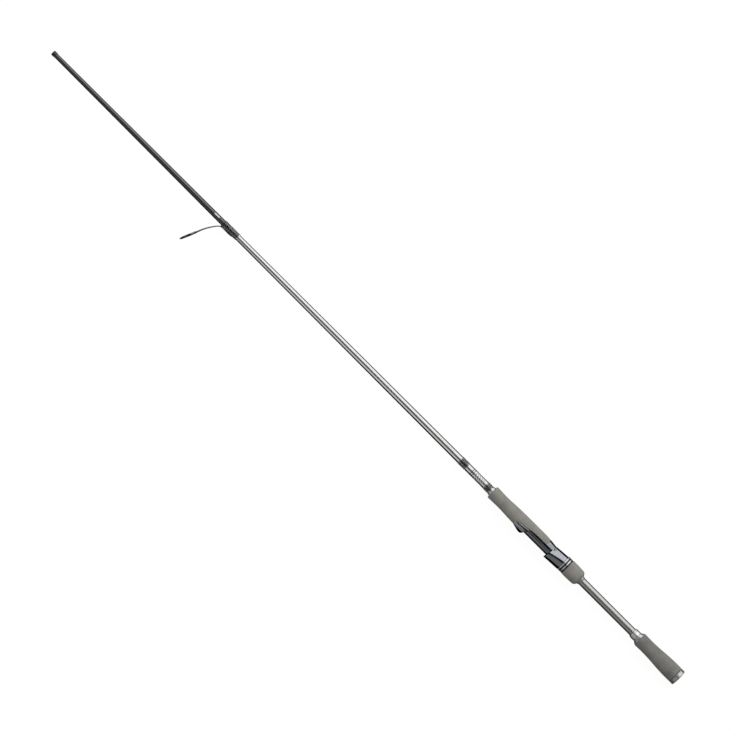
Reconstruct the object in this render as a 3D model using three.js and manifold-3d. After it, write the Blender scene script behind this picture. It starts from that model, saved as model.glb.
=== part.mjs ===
// Butt section of a two-piece spinning rod: a tapered carbon blank with a split foam handle, a
// screw-locking reel seat and one single-foot line guide. All sizes are millimetres.
// Frame: +X runs along the rod from the butt cap to the socket mouth, +Y points to the side that
// carries the reel and the guide, +Z is up when the rod lies on its side. The origin is the centre
// of the butt cap's end face.

import * as THREE from "three";
import { mergeVertices } from "three/addons/utils/BufferGeometryUtils.js";
import Module from "manifold-3d";

const wasm = await Module();
wasm.setup();

// Fineness
const ROUND = 28; // sides of every turned piece
const GLUE = 0.08; // radial gap between pieces that are glued on one another
const SEAM = 0.3; // gap between pieces that meet end to end
const FAR = 90; // reach of a cutting solid past the piece that it cuts

// Blank
const LENGTH = 1095;
const CAP_END = 5.8;
const BLANK_START = CAP_END + SEAM;
const TAPER_START = 330;
const BLANK_BUTT = { outer: 5.3, inner: 4.3 };
const BLANK_TIP = { outer: 3.05, inner: 2.3 };
const SOCKET_RING = { length: 5.3, outer: 3.42 };

// Handle stations along the rod
const REAR_GRIP_END = 68.4;
const REAR_CONE_END = 72.4;
const REAR_COLLAR_END = 80.4;
const TAIL_CHECK = { start: 169.5, end: 173.2 };
const FOREGRIP_END = 326;
const FRONT_CHECK_END = 329.1;

// Reel seat
const SEAT = { start: 175, shoulder: 222, bore: 5.9, pipe: 6.7, pipeEnd: 284, end: 281.2 };
const SHOULDER = { middle: 222.8, lean: 0.17, gap: 0.4 }; // slanting joint behind the deck
const FOAM_START = 232.6;
const DECK_HEIGHT = 8.1;
const SECTION_TOP = 12.3; // height of the seat's oval section before the deck is cut
const SECTION_SIDE = 9.6; // half width of the same section
const ROOF = { start: 264.2, floor: 5.3, wall: 1.3, walls: 5.4, block: 5.1, pocketEnd: 277 };

// Locking thread, rounded like a moulded one
const PITCH = 2;
const THREAD_START = 177;
const THREAD_TURNS = 12;
const THREAD_ROUND = 0.4; // radius of the rounded ridge
const THREAD_PLAY = 0.32;
const THREAD_STEPS = 14; // straight steps in each turn

// Moving hood and its nut
const NUT = { start: 176, foamStart: 172.6, foamEnd: 194.8, end: 202.2, bore: 6.95, outer: 9.3 };
const NUT_RELIEF = { end: 184, radius: 7.4 }; // the nut is threaded only in front of this relief
const HOOD = { start: 202.5, end: 224.8, bore: 7.35, wall: 1.1, pocketStart: 209 };
const HOOD_TOP = { rear: 10.8, front: 11.95 }; // height of the hood on the reel side
const HOOD_BACK = { rear: 9.8, front: 8.1 };
const HOOD_SIDE = { outer: 9.8, inner: 8.5 };
const HOOD_NECK = { start: 196.4, outer: 7.95, bead: 8.3, beadEnd: 197.8 };
const KEY = { start: 205, end: 220, half: 1.2, foot: 6.05, play: 0.3, travel: 15 };
const NUT_RING = { count: 4, length: 1.7, pitch: 1.85, inner: 9.38, outer: 10.55, silverOuter: 10.65 };

// Guide
const GUIDE_TILT = THREE.MathUtils.degToRad(22.5);
const RING_CENTRE = { x: 816.3, y: 40.7 };
const LOOP = { outer: 12.5, inner: 11.1, half: 0.75 };
const EYE = { outer: 11.02, inner: 9.7, half: 1.1, corner: 0.45 };
const LEG_RADIUS = 0.7;
const FOOT = { start: 774, end: 797, half: 1.3, height: 0.9 };
const WRAP = { start: 771.6, end: 795.8, radius: 4.4, foot: 1.235 };

// Finishes
const FOAM = { color: 0x85827c, roughness: 0.9, metalness: 0 };
const GLOSS_BLACK = { color: 0x16171a, roughness: 0.22, metalness: 0.1 };
const SILVER = { color: 0xc8cacc, roughness: 0.25, metalness: 1 };
const BLANK_PAINT = { color: 0x9d9d9f, roughness: 0.3, metalness: 0.7 };
const THREAD_BLACK = { color: 0x0c0c0d, roughness: 0.5, metalness: 0 };
const CLEAR_COAT = { color: 0x2a2a2c, roughness: 0.05, metalness: 0, transparent: true, opacity: 0.35 };
const GUIDE_METAL = { color: 0x4c4e52, roughness: 0.25, metalness: 1 };
const CERAMIC = { color: 0x1c1d20, roughness: 0.1, metalness: 0.2 };
const ARBOR_TAPE = { color: 0xb9a77e, roughness: 0.8, metalness: 0 };

const rod = new THREE.Group();

// ---------------------------------------------------------------------------------------------
// Helpers

// A turned piece from an outline of [x, radius] points, drawn towards +X on its outer side.
function turned(outline) {
  const points = outline.map(([x, radius]) => new THREE.Vector2(radius, x));
  const geometry = new THREE.LatheGeometry(points, ROUND);
  geometry.rotateZ(-Math.PI / 2);
  return geometry;
}

// A turned ring whose outline closes on itself.
function turnedRing(outline) {
  return turned([...outline, outline[0]]);
}

// A plain sleeve with both outer edges broken by a small chamfer.
function sleeve(start, end, inner, outer, chamfer = 0.25) {
  return turnedRing([
    [start, inner],
    [start, outer - chamfer],
    [start + chamfer, outer],
    [end - chamfer, outer],
    [end, outer - chamfer],
    [end, inner],
  ]);
}

// A plain round bar.
function plug(start, end, radius) {
  return turned([[start, 0], [start, radius], [end, radius], [end, 0]]);
}

// Points of a smooth curve through a few [x, y] stations.
function smooth(stations, steps) {
  const curve = new THREE.SplineCurve(stations.map(([x, y]) => new THREE.Vector2(x, y)));
  return curve.getPoints(steps).map((point) => [point.x, point.y]);
}

// Points of an arc about [x, y], from one angle in degrees to another.
function arc(x, y, radius, from, to, steps) {
  const points = [];
  for (let step = 0; step <= steps; step += 1) {
    const angle = THREE.MathUtils.degToRad(from + ((to - from) * step) / steps);
    points.push([x + radius * Math.cos(angle), y + radius * Math.sin(angle)]);
  }
  return points;
}

// A slab with a side outline of [x, y] points, centred on the rod's plane of symmetry.
function slab(outline, halfWidth) {
  const shape = new THREE.Shape(outline.map(([x, y]) => new THREE.Vector2(x, y)));
  const geometry = new THREE.ExtrudeGeometry(shape, { depth: 2 * halfWidth, bevelEnabled: false });
  geometry.translate(0, 0, -halfWidth);
  return geometry;
}

// Scales the height of a turned piece: one ratio on the reel side, another on the back.
function oval(geometry, topRatio, backRatio) {
  const place = geometry.attributes.position;
  for (let i = 0; i < place.count; i += 1) {
    const ratio = place.getY(i) > 0 ? topRatio(place.getX(i)) : backRatio(place.getX(i));
    place.setY(i, place.getY(i) * ratio);
  }
  return geometry;
}

// A rounded ridge that climbs the rod as a right-handed screw.
function screwRidge(start, turns, radius, ridge) {
  class Helix extends THREE.Curve {
    getPoint(t, target = new THREE.Vector3()) {
      const angle = 2 * Math.PI * turns * t;
      return target.set(start + PITCH * turns * t, radius * Math.cos(angle), radius * Math.sin(angle));
    }
  }
  const section = new THREE.Shape(
    arc(0, 0, ridge, 0, 288, 4).map(([x, y]) => new THREE.Vector2(x, y)),
  );
  return new THREE.ExtrudeGeometry(section, {
    steps: turns * THREAD_STEPS,
    extrudePath: new Helix(),
    bevelEnabled: false,
  });
}

// A closed solid that can be joined to others or cut.
function solid(geometry) {
  const bare = geometry.clone();
  bare.deleteAttribute("normal");
  bare.deleteAttribute("uv");
  const merged = mergeVertices(bare);
  const index = merged.index.array;
  const corners = [];
  for (let i = 0; i < index.length; i += 3) {
    const [a, b, c] = index.slice(i, i + 3);
    if (a !== b && b !== c && c !== a) corners.push(a, b, c);
  }
  return new wasm.Manifold(
    new wasm.Mesh({
      numProp: 3,
      vertProperties: new Float32Array(merged.attributes.position.array),
      triVerts: new Uint32Array(corners),
    }),
  );
}

// A cutting block between two stations along the rod and two heights.
function box([start, end], [low, high], halfWidth) {
  return solid(slab([[start, low], [end, low], [end, high], [start, high]], halfWidth));
}

// Adds a named piece to the rod.
function piece(name, shape, finish) {
  let geometry = shape;
  if (!shape.isBufferGeometry) {
    const cut = shape.getMesh();
    geometry = new THREE.BufferGeometry();
    geometry.setAttribute("position", new THREE.BufferAttribute(cut.vertProperties, 3));
    geometry.setIndex(new THREE.BufferAttribute(cut.triVerts, 1));
    geometry.computeVertexNormals();
  }
  const mesh = new THREE.Mesh(geometry, new THREE.MeshStandardMaterial(finish));
  mesh.name = name;
  rod.add(mesh);
}

// Outer or inner radius of the blank at a station along the rod.
function blankRadius(x, wall = "outer") {
  const along = Math.max(0, (x - TAPER_START) / (LENGTH - TAPER_START));
  return THREE.MathUtils.lerp(BLANK_BUTT[wall], BLANK_TIP[wall], along);
}

// ---------------------------------------------------------------------------------------------
// Blank and its socket ring

function blank() {
  const stations = [BLANK_START, TAPER_START, LENGTH];
  const outside = stations.map((x) => [x, blankRadius(x)]);
  const inside = stations.reverse().map((x) => [x, blankRadius(x, "inner")]);
  piece("blank", turnedRing([...outside, ...inside]), BLANK_PAINT);
}

function ferruleRing() {
  const end = LENGTH - SEAM;
  const start = end - SOCKET_RING.length;
  piece("ferrule_ring", sleeve(start, end, blankRadius(start) + GLUE, SOCKET_RING.outer), GLOSS_BLACK);
}

// ---------------------------------------------------------------------------------------------
// Rear handle

function buttCap() {
  const radius = 11;
  const corner = 2.6;
  const spigot = BLANK_BUTT.inner - 0.15;
  const spigotEnd = 21;
  const outline = [
    [0, 0],
    ...arc(corner, radius - corner, corner, 180, 90, 5),
    [CAP_END, radius],
    [CAP_END, spigot],
    [spigotEnd - 1, spigot],
    [spigotEnd, spigot - 0.8],
    [spigotEnd, 0],
  ];
  piece("butt_cap", turned(outline), SILVER);
}

function rearGrip() {
  const bore = BLANK_BUTT.outer + GLUE;
  const skin = smooth([
    [7, 11.1],
    [17, 11.1],
    [29, 10.6],
    [41, 9.7],
    [54, 9.2],
    [67.6, 9.55],
  ], 10);
  const outline = [
    [BLANK_START, bore],
    [BLANK_START, 10.8],
    ...skin,
    [REAR_GRIP_END, 8.9],
    [REAR_GRIP_END, bore],
  ];
  piece("rear_grip", turnedRing(outline), FOAM);
}

function rearWindingCheck() {
  const bore = BLANK_BUTT.outer + GLUE;
  const cone = [
    [REAR_GRIP_END + SEAM, bore],
    [REAR_GRIP_END + SEAM, 8.5],
    [REAR_GRIP_END + 1, 8.7],
    [REAR_CONE_END - 0.6, 6.9],
    [REAR_CONE_END, 6.6],
    [REAR_CONE_END, bore],
  ];
  const bead = 1;
  const collar = [
    [REAR_CONE_END + SEAM, bore],
    [REAR_CONE_END + SEAM, 6.75],
    [REAR_COLLAR_END - 2.2, 6.75],
    [REAR_COLLAR_END - 2, 6.45],
    ...arc(REAR_COLLAR_END - bead, 5.8, bead, 110, 0, 4),
    [REAR_COLLAR_END, bore],
  ];
  piece("rear_check_cone", turnedRing(cone), SILVER);
  piece("rear_check_collar", turnedRing(collar), SILVER);
}

function tailCheck() {
  const bore = BLANK_BUTT.outer + GLUE;
  const outline = [
    [TAIL_CHECK.start, bore],
    [TAIL_CHECK.start, 5.6],
    [TAIL_CHECK.end - 0.6, 6.35],
    [TAIL_CHECK.end, 6.35],
    [TAIL_CHECK.end, bore],
  ];
  piece("tail_check", turnedRing(outline), SILVER);
}

// ---------------------------------------------------------------------------------------------
// Reel seat: one oval section is shared by the seat body and the fixed hood

function seatSection(start, end) {
  const side = smooth([
    [SEAT.shoulder - 2, 7.7],
    [SEAT.shoulder, 8],
    [FOAM_START, 9.2],
    [240, SECTION_SIDE],
    [270, SECTION_SIDE],
    [SEAT.end + 1, 9.4],
  ], 12).filter(([x]) => x >= start && x <= end);
  const body = turned([[side[0][0], 0], ...side, [side.at(-1)[0], 0]]);
  const topRatio = SECTION_TOP / SECTION_SIDE;
  return solid(oval(body, () => topRatio, () => 1));
}

// Everything on the seat's side of the foam seam, moved clear of it by a shift.
function seatRegion(shift) {
  const outline = [
    [SEAT.shoulder - FAR, -FAR],
    [FOAM_START, -FAR],
    [FOAM_START, -1.2],
    [252, -1.2],
    [264, 1],
    [277, 2.8],
    [SEAT.end, 6],
    [SEAT.end, FAR],
    [SEAT.shoulder - FAR, FAR],
  ];
  return solid(slab(outline.map(([x, y]) => [x + shift, y - shift]), FAR));
}

// Everything in front of the slanting joint between the moving hood and the seat's shoulder.
function aheadOfShoulder(offset) {
  const middle = SHOULDER.middle + offset;
  const lean = SHOULDER.lean * FAR;
  const outline = [
    [middle - lean, -FAR],
    [middle + FAR, -FAR],
    [middle + FAR, FAR],
    [middle + lean, FAR],
  ];
  return solid(slab(outline, FAR));
}

function seatBody() {
  const pipe = solid(
    turnedRing([
      [SEAT.start, SEAT.bore],
      [SEAT.start, SEAT.pipe],
      [SEAT.pipeEnd, SEAT.pipe],
      [SEAT.pipeEnd, SEAT.bore],
    ]),
  );
  const bore = solid(plug(SEAT.start - 1, SEAT.pipeEnd + 1, SEAT.bore));
  const ridge = solid(screwRidge(THREAD_START, THREAD_TURNS, SEAT.pipe, THREAD_ROUND));
  const aboveDeck = box([SEAT.shoulder - 4, SEAT.end + 2], [DECK_HEIGHT, FAR], FAR);
  const aroundRoof = box([ROOF.start - SEAM, SEAT.end + 2], [ROOF.floor - SEAM, FAR], FAR);
  const pocketFloor = box([ROOF.start - 2, ROOF.pocketEnd], [0, FAR + 1], ROOF.block);
  const keyway = box(
    [KEY.start - KEY.travel, SEAT.shoulder],
    [-FAR, -KEY.foot + KEY.play],
    KEY.half + KEY.play,
  );
  const block = seatSection(SEAT.shoulder - 2, SEAT.end + 1)
    .intersect(seatRegion(0))
    .intersect(aheadOfShoulder(SHOULDER.gap))
    .subtract(aboveDeck)
    .subtract(aroundRoof.subtract(pocketFloor));
  const body = pipe.add(ridge).subtract(keyway).add(block).subtract(bore);
  piece("seat_body", body, GLOSS_BLACK);
}

// The roof over the front end of the reel foot, with side walls that stand on the seat body.
function fixedHood() {
  const end = SEAT.end - SEAM;
  const outline = [
    [ROOF.start, ROOF.floor],
    [ROOF.start, 9],
    [265.6, 11.2],
    [268, 12.2],
    [271.5, 11.9],
    [end, 9.4],
    [end, ROOF.floor],
  ];
  const inside = SECTION_SIDE - ROOF.wall;
  const pocketRatio = (SECTION_TOP - ROOF.wall) / inside;
  const pocketSection = oval(plug(ROOF.start - 1, FAR + ROOF.start, inside), () => pocketRatio, () => 1);
  const pocketSide = slab([
    [ROOF.start - 1, 0],
    [ROOF.start - 1, SECTION_TOP],
    [271, SECTION_TOP - ROOF.wall],
    [ROOF.pocketEnd + SEAM, 9],
    [ROOF.pocketEnd + SEAM, 0],
  ], ROOF.walls);
  const hood = seatSection(ROOF.start - 8, SEAT.end + 1)
    .intersect(solid(slab(outline, FAR)))
    .subtract(solid(pocketSection).intersect(solid(pocketSide)))
    .subtract(solid(plug(ROOF.start - 8, SEAT.end + 8, SEAT.pipe + SEAM)));
  piece("fixed_hood", hood, GLOSS_BLACK);
}

function arbors() {
  const spans = { rear_arbor: [181, 193], middle_arbor: [226, 240], front_arbor: [269, 281] };
  for (const [name, [start, end]] of Object.entries(spans)) {
    piece(name, sleeve(start, end, BLANK_BUTT.outer + GLUE, SEAT.bore - GLUE, 0.1), ARBOR_TAPE);
  }
}

// ---------------------------------------------------------------------------------------------
// Foregrip

function foregrip() {
  const skin = smooth([
    [FOAM_START + 1.2, 9.3],
    [241, 9.65],
    [268, 9.65],
    [289, 9.25],
    [306, 8.5],
    [319, 8.8],
    [FOREGRIP_END - 0.9, 9],
  ], 16);
  const bore = BLANK_BUTT.outer + GLUE;
  const seatBore = SEAT.pipe + GLUE;
  const seatBoreEnd = SEAT.pipeEnd + SEAM;
  const body = solid(
    turnedRing([
      [FOAM_START, seatBore],
      [FOAM_START, 9],
      ...skin,
      [FOREGRIP_END, 8.3],
      [FOREGRIP_END, bore],
      [seatBoreEnd, bore],
      [seatBoreEnd, seatBore],
    ]),
  );
  piece("foregrip", body.subtract(seatRegion(SEAM)), FOAM);
}

function foregripCheck() {
  const start = FOREGRIP_END + SEAM;
  const bore = BLANK_BUTT.outer + GLUE;
  const outline = [
    [start, bore],
    [start, 6.1],
    [start + 0.2, 6.3],
    [start + 1, 6.3],
    [start + 1.2, 6],
    [start + 1.5, 6],
    [start + 1.7, 6.15],
    [FRONT_CHECK_END, 5.65],
    [FRONT_CHECK_END, bore],
  ];
  piece("foregrip_check", turnedRing(outline), SILVER);
}

// ---------------------------------------------------------------------------------------------
// Locking nut and moving hood

function nutBarrel() {
  const neckGap = 0.2;
  const outline = [
    [NUT.start, NUT_RELIEF.radius],
    [NUT.start, NUT.outer],
    [NUT.end, NUT.outer],
    [NUT.end, HOOD_NECK.outer + neckGap],
    [HOOD_NECK.beadEnd + neckGap, HOOD_NECK.outer + neckGap],
    [HOOD_NECK.beadEnd + neckGap, HOOD_NECK.bead + neckGap],
    [HOOD_NECK.start - neckGap, HOOD_NECK.bead + neckGap],
    [HOOD_NECK.start - neckGap, NUT.bore],
    [NUT_RELIEF.end, NUT.bore],
    [NUT_RELIEF.end, NUT_RELIEF.radius],
  ];
  const firstTurn = THREAD_START + 3 * PITCH;
  const turns = 8;
  const groove = solid(screwRidge(firstTurn, turns, SEAT.pipe, THREAD_ROUND + THREAD_PLAY));
  piece("nut_barrel", solid(turnedRing(outline)).subtract(groove), GLOSS_BLACK);
}

function nutGrip() {
  const corner = 4.6;
  const rearRadius = 10.4;
  const outline = [
    [NUT.foamStart, NUT.bore + 0.2],
    ...arc(NUT.foamStart + corner, rearRadius - corner, corner, 165, 90, 5),
    [184, 10.85],
    [190, 10.95],
    [NUT.foamEnd, 10.85],
    [NUT.foamEnd, NUT.outer + GLUE],
    [NUT.start - SEAM, NUT.outer + GLUE],
    [NUT.start - SEAM, NUT.bore + 0.2],
  ];
  piece("nut_grip", turnedRing(outline), FOAM);
}

function nutRings() {
  for (let i = 0; i < NUT_RING.count; i += 1) {
    const start = NUT.foamEnd + 0.1 + i * NUT_RING.pitch;
    const silver = i % 2 === 1;
    const name = `${silver ? "silver" : "black"}_nut_ring_${i < 2 ? "rear" : "front"}`;
    const outer = silver ? NUT_RING.silverOuter : NUT_RING.outer;
    const ring = sleeve(start, start + NUT_RING.length, NUT_RING.inner, outer, 0.3);
    piece(name, ring, silver ? SILVER : GLOSS_BLACK);
  }
}

// Height of the moving hood on the reel side or on its back, at a station along the rod.
function hoodHeight(height, x) {
  return THREE.MathUtils.lerp(height.rear, height.front, (x - HOOD.start) / (HOOD.end - HOOD.start));
}

function movingHood() {
  const past = HOOD.end + 2;
  const middle = (HOOD.start + HOOD.end) / 2;
  const side = HOOD_SIDE.outer;
  const round = turned([
    [HOOD.start, 0],
    [HOOD.start, side - 0.2],
    [HOOD.start + 0.4, side],
    [middle, side],
    [past, side],
    [past, 0],
  ]);
  const skin = oval(
    round,
    (x) => hoodHeight(HOOD_TOP, x) / side,
    (x) => hoodHeight(HOOD_BACK, x) / side,
  );
  const inside = HOOD_SIDE.inner;
  const roundPocket = turned([
    [HOOD.pocketStart, 0],
    [HOOD.pocketStart, inside],
    [middle, inside],
    [past + 1, inside],
    [past + 1, 0],
  ]);
  const pocket = oval(
    roundPocket,
    (x) => (hoodHeight(HOOD_TOP, x) - HOOD.wall) / inside,
    () => HOOD.bore / inside,
  );
  const neck = solid(
    turned([
      [HOOD_NECK.start, 0],
      [HOOD_NECK.start, HOOD_NECK.bead - 0.3],
      [HOOD_NECK.start + 0.4, HOOD_NECK.bead],
      [HOOD_NECK.beadEnd, HOOD_NECK.bead],
      [HOOD_NECK.beadEnd, HOOD_NECK.outer],
      [HOOD.start + 1, HOOD_NECK.outer],
      [HOOD.start + 1, 0],
    ]),
  );
  const bore = solid(plug(HOOD_NECK.start - 1, past + 1, HOOD.bore));
  const key = box([KEY.start, KEY.end], [-HOOD.bore - 0.3, -KEY.foot], KEY.half);
  const hood = solid(skin)
    .add(neck)
    .subtract(bore)
    .subtract(solid(pocket))
    .subtract(aheadOfShoulder(0))
    .add(key);
  piece("moving_hood", hood, GLOSS_BLACK);
}

// ---------------------------------------------------------------------------------------------
// Thread wraps in front of the foregrip, each under a coat of clear varnish

function trimWrap(name, start, end) {
  const thread = 0.16;
  const coat = 0.14;
  const lip = 0.7;
  const radius = blankRadius(start) + GLUE;
  const wrapTop = radius + thread;
  const coatInside = wrapTop + 0.04;
  const coatTop = coatInside + coat;
  piece(`${name}_wrap`, sleeve(start + lip + 0.2, end - lip - 0.2, radius, wrapTop, 0.04), THREAD_BLACK);
  const coatOutline = [
    [start, radius],
    [start + 0.1, radius + 0.1],
    [start + lip, coatTop],
    [end - lip, coatTop],
    [end - 0.1, radius + 0.1],
    [end, radius],
    [end - lip, radius],
    [end - lip, coatInside],
    [start + lip, coatInside],
    [start + lip, radius],
  ];
  piece(`${name}_varnish`, turnedRing(coatOutline), CLEAR_COAT);
}

// ---------------------------------------------------------------------------------------------
// Single-foot guide: a foot under the wrap, two legs that spread to the sides of a tilted loop,
// and a ceramic eye pressed into the loop

// Turns a piece made about the origin to the tilt of the guide's loop and sets it in place.
function atGuideLoop(geometry) {
  geometry.rotateZ(-GUIDE_TILT);
  geometry.translate(RING_CENTRE.x, RING_CENTRE.y, 0);
  return geometry;
}

function guideLeg(side) {
  const route = [
    [794.5, 4.6, 0.4],
    [797.5, 6.4, 0.9],
    [800.6, 9.7, 1.9],
    [803.7, 14, 3.2],
    [806.8, 18.9, 4.7],
    [809.4, 24, 6.4],
    [811.6, 29.4, 8.4],
    [813.9, 35, 10],
  ].map(([x, y, z]) => new THREE.Vector3(x, y, side * z));
  const section = new THREE.Shape(arc(0, 0, LEG_RADIUS, 0, 315, 7).map(([x, y]) => new THREE.Vector2(x, y)));
  return new THREE.ExtrudeGeometry(section, {
    steps: 18,
    extrudePath: new THREE.CatmullRomCurve3(route),
    bevelEnabled: false,
  });
}

function guideFrame() {
  const underside = blankRadius(FOOT.start) + GLUE;
  const loop = atGuideLoop(sleeve(-LOOP.half, LOOP.half, LOOP.inner, LOOP.outer, 0.3));
  const foot = slab([
    [FOOT.start, underside],
    [FOOT.end, underside],
    [FOOT.end, underside + FOOT.height],
    [FOOT.start + 6, underside + FOOT.height],
    [FOOT.start, underside + 0.2],
  ], FOOT.half);
  const frame = solid(loop).add(solid(foot)).add(solid(guideLeg(1))).add(solid(guideLeg(-1)));
  const eyeRoom = atGuideLoop(plug(-4, 4, LOOP.inner));
  piece("guide_frame", frame.subtract(solid(eyeRoom)), GUIDE_METAL);
}

function guideEye() {
  const { outer, inner, half, corner } = EYE;
  const outline = [
    [-half + corner, outer],
    [half - corner, outer],
    [half, outer - corner],
    [half, inner + corner],
    [half - corner, inner],
    [-half + corner, inner],
    [-half, inner + corner],
    [-half, outer - corner],
  ];
  piece("guide_ring", atGuideLoop(turnedRing(outline)), CERAMIC);
}

// The thread is wound over the blank and the foot, so its section is taller over the foot.
function guideWrap() {
  const room = 0.08;
  const underside = blankRadius(FOOT.start) + GLUE;
  const footRoom = slab([
    [FOOT.start - 0.5, underside - 0.4],
    [WRAP.end + 2, underside - 0.4],
    [WRAP.end + 2, underside + FOOT.height + room],
    [FOOT.start + 6 - room, underside + FOOT.height + room],
    [FOOT.start - 0.5, underside + 0.25 + room],
  ], FOOT.half + room);
  const core = plug(WRAP.start - 1, WRAP.end + 1, blankRadius(WRAP.start) + GLUE);
  const taper = 3;
  const thread = oval(
    turned([
      [WRAP.start, 0],
      [WRAP.start, WRAP.radius - 0.15],
      [WRAP.start + taper, WRAP.radius],
      [WRAP.end, WRAP.radius],
      [WRAP.end, 0],
    ]),
    () => WRAP.foot,
    () => 1,
  );
  const legs = solid(guideLeg(1)).add(solid(guideLeg(-1)));
  const cut = solid(footRoom).add(solid(core)).add(legs);
  piece("guide_wrap", solid(thread).subtract(cut), THREAD_BLACK);
}

function guideVarnish() {
  const inside = WRAP.radius + 0.06;
  const outside = inside + 0.16;
  const lip = 0.8;
  const mouth = blankRadius(WRAP.start) + 0.15;
  const outline = [
    [WRAP.start - lip, mouth],
    [WRAP.start - lip + 0.1, mouth + 0.1],
    [WRAP.start + lip, outside],
    [WRAP.end - 1.6, outside],
    [WRAP.end - 1.6, inside],
    [WRAP.start - SEAM, inside],
    [WRAP.start - SEAM, mouth],
  ];
  const coat = oval(turnedRing(outline), () => WRAP.foot, () => 1);
  piece("guide_varnish", coat, CLEAR_COAT);
}

// ---------------------------------------------------------------------------------------------

blank();
ferruleRing();
buttCap();
rearGrip();
rearWindingCheck();
tailCheck();
seatBody();
fixedHood();
arbors();
foregrip();
foregripCheck();
nutBarrel();
nutGrip();
nutRings();
movingHood();
trimWrap("rear_trim", 329.5, 337.8);
trimWrap("front_trim", 370, 382.3);
guideFrame();
guideEye();
guideWrap();
guideVarnish();

export default rod;
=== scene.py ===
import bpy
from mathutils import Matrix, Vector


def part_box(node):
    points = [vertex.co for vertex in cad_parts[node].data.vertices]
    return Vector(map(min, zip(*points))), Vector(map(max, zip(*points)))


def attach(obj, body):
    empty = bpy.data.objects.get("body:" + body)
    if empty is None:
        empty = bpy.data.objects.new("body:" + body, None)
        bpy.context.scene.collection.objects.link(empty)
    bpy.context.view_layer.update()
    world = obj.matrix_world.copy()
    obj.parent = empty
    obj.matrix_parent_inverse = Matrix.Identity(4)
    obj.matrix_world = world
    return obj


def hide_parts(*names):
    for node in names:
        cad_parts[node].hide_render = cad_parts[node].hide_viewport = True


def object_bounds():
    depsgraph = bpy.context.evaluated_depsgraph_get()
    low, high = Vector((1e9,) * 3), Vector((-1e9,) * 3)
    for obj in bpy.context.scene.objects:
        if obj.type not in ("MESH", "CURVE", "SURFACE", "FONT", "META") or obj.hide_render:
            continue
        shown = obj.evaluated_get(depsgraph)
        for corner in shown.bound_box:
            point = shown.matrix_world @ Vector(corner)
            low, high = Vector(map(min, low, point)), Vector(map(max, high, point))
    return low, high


bl_info = {
    "name": "Spinning Rod Butt Section",
    "version": (1, 0, 0),
    "blender": (4, 5, 0),
    "location": "3D View > Sidebar > Rod",
    "description": "Builds the finished pieces of a spinning rod's butt section around its frame",
    "category": "Add Mesh",
}

import math

import bmesh
import bpy
from mathutils import Matrix, Vector

# Sizes below are millimetres; every mesh is brought to metres as it is made. +X runs along the
# rod to the socket mouth, +Y points to the side of the reel and the guide, +Z is up.
MM = 0.001
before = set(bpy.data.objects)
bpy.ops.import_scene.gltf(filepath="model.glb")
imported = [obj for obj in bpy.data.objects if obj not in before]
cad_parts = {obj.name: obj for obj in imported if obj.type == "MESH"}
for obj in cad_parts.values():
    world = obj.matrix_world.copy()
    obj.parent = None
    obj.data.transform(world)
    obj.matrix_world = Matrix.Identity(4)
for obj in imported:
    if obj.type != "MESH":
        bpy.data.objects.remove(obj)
CAD_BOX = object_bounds()


class Span:
    """Place and size of a CAD node, in millimetres."""

    def __init__(self, node):
        low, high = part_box(node)
        self.start = low.x / MM
        self.end = high.x / MM
        self.back = -low.y / MM
        self.top = high.y / MM
        self.side = high.z / MM
        self.middle = (low + high) / 2 / MM


BLANK = Span("blank")
SEAT = Span("seat_body")
FOREGRIP = Span("foregrip")
ROOF = Span("fixed_hood")
HOOD = Span("moving_hood")
BARREL = Span("nut_barrel")
EYE = Span("guide_ring")
FRAME_LOOP = Span("guide_frame")
GUIDE_WRAP = Span("guide_wrap")

# Light that reaches the rod from the room, against 1 for what the camera sees of it, and the width
# of the view in metres.
ROOM_LIGHT = 0.14
SEEN_WIDTH = 0.9107

GLUE = 0.08
LIP_LENGTH = 15.5
LIP_HEIGHT = 8
LIP_DEPTH = 5
LIP_HINGE = (260.8, 2.05, 9.3)
LIP_TILT = math.radians(22)
SCREW_START = 177
SCREW_END = 201
SCREW_ROUND = 0.8
KEYWAY_START = 190
GROOVE_FLOOR = 8.1
SLOT_FLOOR = 5.6
FOOT_END = 796.6
LEG_RADIUS = 0.7
EYE_OUTER = 11.02
EYE_INNER = 9.7
EYE_HALF = 1.1
LOOP_HALF = 0.75
LOOP_WIDTH = 1.4
SEAM = 0.3
FAR = 90
BLANK_BORE = 4.3
TAPER_START = 330
TIP_RADIUS = Span("ferrule_ring").side - 0.37
TIP_BORE = 2.3

SHOULDER_MIDDLE = 222.8
SHOULDER_LEAN = 0.17
SHOULDER_GAP = 0.4
SECTION_SIDE = 9.6
SECTION_TOP = 12.3
DECK_ROUND = 3.4
DECK_NARROWING = 0.4
PIPE = 6.7
PIPE_BORE = 5.9
FOAM_START = FOREGRIP.start - SEAM
SEAM_LINE = [(FOAM_START, -1.2), (252, -1.2), (264, 1), (276, 2.8), (281.2, 7)]
ROOF_FLOOR = ROOF.back * -1
ROOF_WALL = 1.3
HOOD_SKIN_START = 202.5
HOOD_SIDE = 9.8
HOOD_BORE = 7.35
HOOD_WALL = 1.1
KEY_FOOT = 6.05
KEY_HALF = 1.2
GUIDE_TILT = math.radians(22.5)
FOOT_RAMP = 11


# ---------------------------------------------------------------------------------------------
# Settings a user would change


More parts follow.
